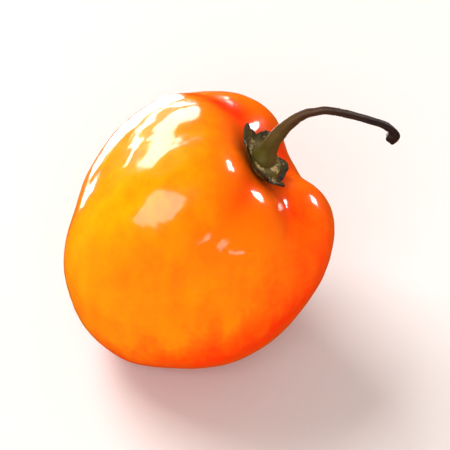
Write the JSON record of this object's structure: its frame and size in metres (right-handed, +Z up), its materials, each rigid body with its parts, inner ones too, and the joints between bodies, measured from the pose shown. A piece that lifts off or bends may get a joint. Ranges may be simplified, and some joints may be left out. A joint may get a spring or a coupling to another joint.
{
  "type": "habanero pepper",
  "caption": "Ripe orange habanero pepper with lobed glossy skin, a small toothed green calyx and a long arched brown stem, resting on its blossom end.",
  "frame": {"origin": "under the middle of the whole pepper's box, on the surface it rests on", "axes": "+Z up; the stem axis leans 32 degrees towards +X and the stem arches over towards +X; +Y is the back as seen when the stem points right"},
  "size_m": [0.0498, 0.0358, 0.0494],
  "materials": {
    "skin": "taut waxy orange pepper skin, very glossy",
    "calyx": "dark green leafy calyx, dry and ribbed",
    "stem": "olive green stem that dries to dark brown at its tip"
  },
  "bodies": {
    "root": {"fruit": "skin", "calyx": "calyx", "stem": "stem"}
  },
  "joints": []
}
